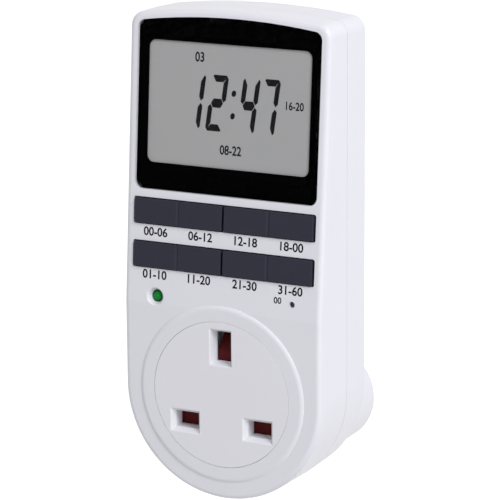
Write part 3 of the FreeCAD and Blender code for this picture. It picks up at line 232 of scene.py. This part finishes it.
def banded(name, look):
    # Straight stripes of two tones across one axis: ribbon cable and elastomer strips.
    material, tree, place = newFinish(name)
    onePerMetre = 0.3183     # wave scale with about one stripe pair to the metre
    stripes = addNode(tree, "ShaderNodeTexWave", {"bands_direction": look["across"]},
                      {"Vector": place, "Scale": onePerMetre / (look["pitchMm"] * mm), "Distortion": 0.0})
    speck = addNode(tree, "ShaderNodeTexNoise", None,
                    {"Vector": place, "Scale": 1 / (look["speckMm"] * mm)})
    edge = addNode(tree, "ShaderNodeMapRange", None,
                   {"Value": stripes.outputs["Fac"],
                    "From Min": look["edge"][0], "From Max": look["edge"][1]})
    tone = addNode(tree, "ShaderNodeMix", {"data_type": "RGBA"},
                   {0: edge.outputs[0], 6: hexColor(look["color"]), 7: hexColor(look["shade"])})
    gloss = addNode(tree, "ShaderNodeMapRange", None,
                    {"Value": speck.outputs[0], "To Min": look["rough"][0], "To Max": look["rough"][1]})
    bump = addNode(tree, "ShaderNodeBump", None,
                   {"Strength": 0.4, "Distance": look["depthMm"] * mm, "Height": stripes.outputs["Fac"]})
    skin = addNode(tree, "ShaderNodeBsdfPrincipled", None,
                   {"Base Color": tone.outputs[2], "Roughness": gloss.outputs[0], "Normal": bump.outputs[0]})
    addNode(tree, "ShaderNodeOutputMaterial", None, {"Surface": skin.outputs[0]})
    return material


def circuitBoard(name, look):
    # Solder mask over copper: straight tracks show as a lighter green, raised by the copper's thickness.
    material, tree, place = newFinish(name)
    upright = addNode(tree, "ShaderNodeMapping", None,
                      {"Vector": place, "Rotation": (math.radians(90), 0, 0)})
    tracks = addNode(tree, "ShaderNodeTexBrick", {"offset": 0.37, "squash": 0.6, "squash_frequency": 3},
                     {"Vector": upright.outputs[0], "Scale": 1 / mm, "Brick Width": look["runMm"],
                      "Row Height": look["pitchMm"], "Mortar Size": look["gapMm"], "Mortar Smooth": 0.2,
                      "Color1": (1, 1, 1, 1), "Color2": (1, 1, 1, 1), "Mortar": (0, 0, 0, 1)})
    weave = addNode(tree, "ShaderNodeTexNoise", None,
                    {"Vector": place, "Scale": 1 / (look["weaveMm"] * mm), "Detail": 3.0})
    tone = addNode(tree, "ShaderNodeMix", {"data_type": "RGBA"},
                   {0: tracks.outputs["Color"], 6: hexColor(look["color"]), 7: hexColor(look["shade"])})
    gloss = addNode(tree, "ShaderNodeMapRange", None,
                    {"Value": weave.outputs[0], "To Min": look["rough"][0], "To Max": look["rough"][1]})
    bump = addNode(tree, "ShaderNodeBump", None,
                   {"Strength": 0.5, "Distance": look["depthMm"] * mm, "Height": tracks.outputs["Color"]})
    skin = addNode(tree, "ShaderNodeBsdfPrincipled", None,
                   {"Base Color": tone.outputs[2], "Roughness": gloss.outputs[0], "Normal": bump.outputs[0]})
    addNode(tree, "ShaderNodeOutputMaterial", None, {"Surface": skin.outputs[0]})
    return material


finishes = {
    # Polycarbonate from a spark-eroded mould: cool white, satin, its grain too fine to see and so drawn at
    # 0.35 mm
    "white_casing": (grained, "mouldedPolycarbonateWhite", {
        "color": "#e8e7ed", "shade": "#e3e3ea", "rough": (0.28, 0.36), "grainMm": 0.35, "depthMm": 0.008}),
    # The outlet plate is urea, a little harder and smoother than the casing
    "outlet_white": (grained, "mouldedUreaWhite", {
        "color": "#e9e9ee", "shade": "#e5e5ea", "rough": (0.28, 0.36), "grainMm": 0.3, "depthMm": 0.006}),
    # ABS keys, matt and faintly speckled
    "key_grey": (grained, "mouldedAbsSlate", {
        "color": "#2b2b39", "shade": "#272735", "rough": (0.5, 0.7), "grainMm": 0.3, "depthMm": 0.02,
        "specular": 0.25, "driftMm": 4}),
    # Nylon shutter, red-brown and dull
    "shutter_brown": (grained, "mouldedNylonRedBrown", {
        "color": "#5a1619", "shade": "#4e1215", "rough": (0.45, 0.6), "grainMm": 0.3, "depthMm": 0.01,
        "specular": 0.1}),
    # Unfilled nylon, milky
    "nylon_natural": (grained, "mouldedNylonNatural", {
        "color": "#e4e2e4", "shade": "#dbd9db", "rough": (0.4, 0.5), "grainMm": 0.4, "depthMm": 0.008}),
    # Brass strip and bar: rolled along the pins, so the sheen is drawn out that way
    "brass": (grained, "rolledBrass", {
        "color": "#d6b56a", "shade": "#c49f53", "rough": (0.22, 0.38), "grainMm": 0.25, "depthMm": 0.003,
        "metallic": 1.0, "stretch": (1, 12, 1), "driftMm": 5}),
    "sleeve_black": (grained, "mouldedPvcBlack", {
        "color": "#141416", "shade": "#1b1b1e", "rough": (0.4, 0.5), "grainMm": 0.3, "depthMm": 0.006}),
    # Clear acrylic window: thin and hard-coated, so it adds little gloss over the black mask
    "clear_lens": (grained, "castAcrylicClear", {
        "color": "#101012", "shade": "#0c0c0e", "rough": (0.04, 0.06), "grainMm": 3.0, "depthMm": 0.0001,
        "alpha": 0.05, "specular": 0.2}),
    # Screen-printed film behind the window: dead black
    "mask_black": (grained, "screenInkBlack", {
        "color": "#020202", "shade": "#040404", "rough": (0.6, 0.75), "grainMm": 0.3, "depthMm": 0.003,
        "specular": 0.0}),
    # Liquid-crystal glass over a silver-grey reflector: even mid grey with a fine sparkle
    "lcd_grey": (grained, "liquidCrystalGlassGrey", {
        "color": "#bbbbbb", "shade": "#b7b7b7", "rough": (0.3, 0.36), "grainMm": 0.2, "depthMm": 0.001,
        "specular": 0.2}),
    # Pad-printed ink on the casing: black with a trace of blue
    "printInk": (grained, "padPrintInkBlack", {
        "color": "#101017", "shade": "#14141b", "rough": (0.5, 0.6), "grainMm": 0.3, "depthMm": 0.002,
        "specular": 0.1}),
    # A switched segment of the display: dark grey, just short of black
    "segmentInk": (grained, "liquidCrystalSegmentGrey", {
        "color": "#161618", "shade": "#121214", "rough": (0.4, 0.5), "grainMm": 0.2, "depthMm": 0.001,
        "specular": 0.1}),
    "frame_white": (grained, "mouldedAbsWhite", {
        "color": "#dedcd6", "shade": "#d6d4cd", "rough": (0.4, 0.5), "grainMm": 0.3, "depthMm": 0.006}),
    # Elastomer strip: conductive and plain layers every 0.18 mm, drawn at 0.36 mm so that they show
    "zebra_rubber": (banded, "zebraRubber", {
        "color": "#17171a", "shade": "#a9a7a2", "across": "X", "pitchMm": 0.36, "edge": (0.4, 0.6),
        "speckMm": 0.4, "rough": (0.5, 0.6), "depthMm": 0.01}),
    "switch_black": (grained, "mouldedNylonBlack", {
        "color": "#161618", "shade": "#1f1f22", "rough": (0.4, 0.55), "grainMm": 0.25, "depthMm": 0.008}),
    # Tinted epoxy lamp: deep green, moulded with a soft sheen
    "lamp_green": (grained, "castEpoxyGreen", {
        "color": "#0d8c36", "shade": "#0a7a2d", "rough": (0.34, 0.44), "grainMm": 1.0, "depthMm": 0.002,
        "specular": 0.12, "driftMm": 1.2}),
    "tinned_steel": (grained, "tinnedSteel", {
        "color": "#c9cbcc", "shade": "#b7b9bb", "rough": (0.25, 0.4), "grainMm": 0.4, "depthMm": 0.003,
        "metallic": 1.0, "driftMm": 2}),
    # ABS reset plunger: a grey part, its tone darkened further as painted shade for the shadow inside the
    # reset hole
    "plunger_grey": (grained, "mouldedAbsGreyAndPaintedShade", {
        "color": "#505257", "shade": "#484a4f", "rough": (0.45, 0.55), "grainMm": 0.25, "depthMm": 0.006}),
    # Glass-epoxy board with 35 micron copper under the mask
    "board_green": (circuitBoard, "glassEpoxyBoardGreen", {
        "color": "#12522f", "shade": "#1f7a45", "runMm": 9.0, "pitchMm": 1.9, "gapMm": 0.35,
        "weaveMm": 0.5, "rough": (0.28, 0.4), "depthMm": 0.035}),
    "epoxy_black": (grained, "mouldedEpoxyBlack", {
        "color": "#1a1a1b", "shade": "#232324", "rough": (0.5, 0.65), "grainMm": 0.2, "depthMm": 0.01}),
    "relay_blue": (grained, "mouldedPbtBlue", {
        "color": "#2f62a8", "shade": "#2a5896", "rough": (0.3, 0.42), "grainMm": 0.35, "depthMm": 0.006}),
    "film_yellow": (grained, "mouldedPbtYellow", {
        "color": "#d9ab2c", "shade": "#cb9c22", "rough": (0.3, 0.42), "grainMm": 0.35, "depthMm": 0.006}),
    # Dipped epoxy: thick, glossy, a little uneven
    "disc_blue": (grained, "dippedEpoxyBlue", {
        "color": "#3a68b4", "shade": "#31589c", "rough": (0.15, 0.25), "grainMm": 1.2, "depthMm": 0.05}),
    "resistor_tan": (grained, "paintedCeramicTan", {
        "color": "#c6a57c", "shade": "#b59268", "rough": (0.3, 0.45), "grainMm": 0.4, "depthMm": 0.02}),
    # Extruded PVC: faint lines along the wire
    "wire_brown": (grained, "extrudedPvcBrown", {
        "color": "#6a3f27", "shade": "#5c351f", "rough": (0.3, 0.42), "grainMm": 0.3, "depthMm": 0.006,
        "stretch": (1, 1, 8)}),
    "wire_blue": (grained, "extrudedPvcBlue", {
        "color": "#2b62b5", "shade": "#2455a1", "rough": (0.3, 0.42), "grainMm": 0.3, "depthMm": 0.006,
        "stretch": (1, 1, 8)}),
    # Ribbon cable: one core every 1.27 mm
    "link_grey": (banded, "ribbonCableGrey", {
        "color": "#8b8d90", "shade": "#b4b6b8", "across": "X", "pitchMm": 1.27, "edge": (0.1, 0.5),
        "speckMm": 0.4, "rough": (0.4, 0.5), "depthMm": 0.2}),
    "plated_steel": (grained, "zincPlatedSteel", {
        "color": "#c4c8cc", "shade": "#b2b6bd", "rough": (0.25, 0.42), "grainMm": 0.3, "depthMm": 0.004,
        "metallic": 1.0, "driftMm": 2}),
    "spring_steel": (grained, "drawnSpringSteel", {
        "color": "#a9acb0", "shade": "#94979c", "rough": (0.2, 0.34), "grainMm": 0.15, "depthMm": 0.002,
        "metallic": 1.0, "driftMm": 1}),
}
materials = {}
for slotName, (maker, materialName, look) in finishes.items():
    materials[slotName] = maker(materialName, look)
for part in frame["record"]["subparts"]:
    for slot in frame["nodes"][part["node"]].material_slots:
        slot.material = materials[part["material_slot"]]
print("finishes made:", len(materials))

# The shutter's spring: its solid can't shorten, so a copy with a mesh of its own stands for it
coil = bpy.data.objects.new("shutter_coil", frame["nodes"]["shutter_spring"].data.copy())
scene.collection.objects.link(coil)
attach(coil, "casing")
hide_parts("shutter_spring")
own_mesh(coil)
print("spring made")


# The upper face leans back from a bend. Figures on it are drawn in mm: across, up the face, out of it.
upperFace = {"lean": math.radians(4.57), "frontY": -41.5, "bendZ": 32.2}


def onUpperFace(depth):      # turns face millimetres, that far behind the face, into the object's metres
    sine, cosine = math.sin(upperFace["lean"]), math.cos(upperFace["lean"])
    turn = Matrix(((1, 0, 0), (0, sine, -cosine), (0, cosine, sine))).to_4x4()
    place = Vector((0, upperFace["frontY"] + depth * cosine, upperFace["bendZ"] - depth * sine))
    return Matrix.Scale(mm, 4) @ Matrix.Translation(place) @ turn


def finishPiece(name, shape, depth, finishName):
    bmesh.ops.recalc_face_normals(shape, faces=shape.faces)
    bmesh.ops.transform(shape, matrix=onUpperFace(depth), verts=shape.verts)
    mesh = bpy.data.meshes.new(name)
    shape.to_mesh(mesh)
    shape.free()
    mesh.materials.append(materials[finishName])
    piece = bpy.data.objects.new(name, mesh)
    scene.collection.objects.link(piece)
    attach(piece, "casing")


def thicken(shape, faces, low, high):      # flat faces at height 0 become solids from low to high
    bmesh.ops.translate(shape, verts=list({v for f in faces for v in f.verts}), vec=(0, 0, low))
    grown = bmesh.ops.extrude_face_region(shape, geom=faces, use_keep_orig=True)["geom"]
    tops = [v for v in grown if isinstance(v, bmesh.types.BMVert)]
    bmesh.ops.translate(shape, verts=tops, vec=(0, 0, high - low))


lettering = {
    "bolder": 0.02,              # as bold as the photographed print; bolder still, a 4 loses its counter
    "extrude": 0.1,              # any thickness, scaled afterwards to the ink's
    "curveSteps": 5,
    "weld": 1e-5,
}


def addNumber(shape, text, height, middle, squeeze, low, high):
    # One printed number, height mm tall with its centre at middle, from Blender's own font
    curve = bpy.data.curves.new("number", "FONT")
    curve.body = text
    curve.extrude = lettering["extrude"]
    curve.offset = lettering["bolder"]
    curve.resolution_u = lettering["curveSteps"]
    holder = bpy.data.objects.new("number", curve)
    scene.collection.objects.link(holder)
    bpy.context.view_layer.update()
    mesh = bpy.data.meshes.new_from_object(holder.evaluated_get(bpy.context.evaluated_depsgraph_get()))
    bpy.data.objects.remove(holder)
    number = bmesh.new()
    number.from_mesh(mesh)
    bmesh.ops.remove_doubles(number, verts=number.verts, dist=lettering["weld"])
    least = Vector([min(v.co[i] for v in number.verts) for i in range(3)])
    most = Vector([max(v.co[i] for v in number.verts) for i in range(3)])
    size = height / (most.y - least.y)
    bmesh.ops.translate(number, verts=number.verts, vec=-(least + most) / 2)
    bmesh.ops.scale(number, verts=number.verts,
                    vec=(size * squeeze, size, (high - low) / (most.z - least.z)))
    bmesh.ops.translate(number, verts=number.verts, vec=(*middle, (low + high) / 2))
    number.to_mesh(mesh)
    number.free()
    shape.from_mesh(mesh)
    bpy.data.meshes.remove(mesh)


# Printed numbers: a range beneath each key half and a small number beside the reset hole
printed = {
    "numbers": (("00-06", -20.6, 19.8), ("06-12", -6.9, 19.8), ("12-18", 6.9, 19.8), ("18-00", 20.6, 19.8),
                ("01-10", -20.6, 8.0), ("11-20", -6.9, 8.0), ("21-30", 6.9, 8.0), ("31-60", 20.6, 8.0)),
    "height": 2.5,
    "reset": ("00", 16.9, 5.0),
    "resetHeight": 1.8,
    "squeeze": 0.95,
    "ink": (-0.01, 0.02),        # mm below and above the plastic
}
shape = bmesh.new()
for text, x, up in printed["numbers"]:
    addNumber(shape, text, printed["height"], (x, up), printed["squeeze"], *printed["ink"])
text, x, up = printed["reset"]
addNumber(shape, text, printed["resetHeight"], (x, up), printed["squeeze"], *printed["ink"])
finishPiece("printed_numbers", shape, 0.0, "printInk")
print("numbers printed")

# Display figures: four slanted seven-segment digits, two dots and small numbers, on the panel's face
display = {
    "depth": 1.35,               # panel face behind the casing's face
    "digits": (("1", -12.96), ("2", -6.16), ("4", 3.34), ("7", 9.3)),      # left edges
    "low": 48.61,
    "width": 5.1,
    "height": 15.2,
    "slant": 0.119,
    "side": 1.35,                # stroke widths: uprights, end bars, middle bar
    "bar": 1.85,
    "middle": 2.45,
    "gap": 0.3,
    "barTip": (0.62, 0.45, 0.4, 0.1),          # end bars: outer inset, shoulder inset and drop, inner inset
    "middleTip": (0.75, 0.2),                  # middle bar: inset of its points and of its flats
    "uprightTip": (0.35, 0.9, 1.0, 0.2),       # uprights: point, outer shoulders, inner shoulder
    "dots": ((1.39, 59.14), (1.16, 53.07)),
    "dotSize": (1.36, 1.72),
    "dotSides": 20,
    "small": (("03", -9.16, 68.27, 2.7), ("16-20", 19.54, 57.17, 2.3), ("08-22", 0.84, 43.77, 2.6)),
    "smallSqueeze": 0.8,
    "ink": (-0.005, 0.02),
}
litSegments = {"1": "bc", "2": "abged", "4": "fgbc", "7": "abc"}


def segmentCorners(letter):
    w, h, side, bar, gap = (display[k] for k in ("width", "height", "side", "bar", "gap"))
    half = display["middle"] / 2
    if letter == "g":
        point, flat = display["middleTip"]
        flat += side - gap / 2
        return [(point, h / 2), (flat, h / 2 + half), (w - flat, h / 2 + half), (w - point, h / 2),
                (w - flat, h / 2 - half), (flat, h / 2 - half)]
    if letter in "ad":
        outer, shoulder, drop, inner = display["barTip"]
        inner += side
        corners = [(outer, h), (w - outer, h), (w - shoulder, h - drop), (w - inner, h - bar),
                   (inner, h - bar), (shoulder, h - drop)]
    else:
        point, top, foot, inner = display["uprightTip"]
        corners = [(w - point * side, h - gap), (w, h - top), (w, h / 2 + foot),
                   (w - side / 2, h / 2 + gap), (w - side, h / 2 + half + inner), (w - side, h - bar - gap)]
    if letter in "ef":
        corners = [(w - x, y) for x, y in corners]
    if letter in "cde":
        corners = [(x, h - y) for x, y in corners]
    return corners


shape = bmesh.new()
for digit, left in display["digits"]:
    for letter in litSegments[digit]:
        corners = [shape.verts.new((left + x, y, 0)) for x, y in segmentCorners(letter)]
        shape.faces.new(corners)
for x, up in display["dots"]:
    # A disc 1 mm across, then scaled to the dot
    dot = bmesh.ops.create_circle(shape, cap_ends=True, radius=0.5, segments=display["dotSides"])["verts"]
    bmesh.ops.scale(shape, vec=(*display["dotSize"], 1), verts=dot)
    bmesh.ops.translate(shape, vec=(x - display["slant"] * (up - display["low"] - display["height"] / 2),
                                    up - display["low"], 0), verts=dot)
thicken(shape, shape.faces[:], *display["ink"])
slant = Matrix.Identity(4)
slant[0][1] = display["slant"]
bmesh.ops.translate(shape, vec=(0, -display["height"] / 2, 0), verts=shape.verts)
bmesh.ops.transform(shape, matrix=slant, verts=shape.verts)
bmesh.ops.translate(shape, vec=(0, display["low"] + display["height"] / 2, 0), verts=shape.verts)
finishPiece("display_time", shape, display["depth"], "segmentInk")

shape = bmesh.new()
for text, x, up, height in display["small"]:
    addNumber(shape, text, height, (x, up), display["smallSqueeze"], *display["ink"])
finishPiece("display_small_numbers", shape, display["depth"], "segmentInk")
print("display figures made")

scene.view_settings.view_transform = "Standard"
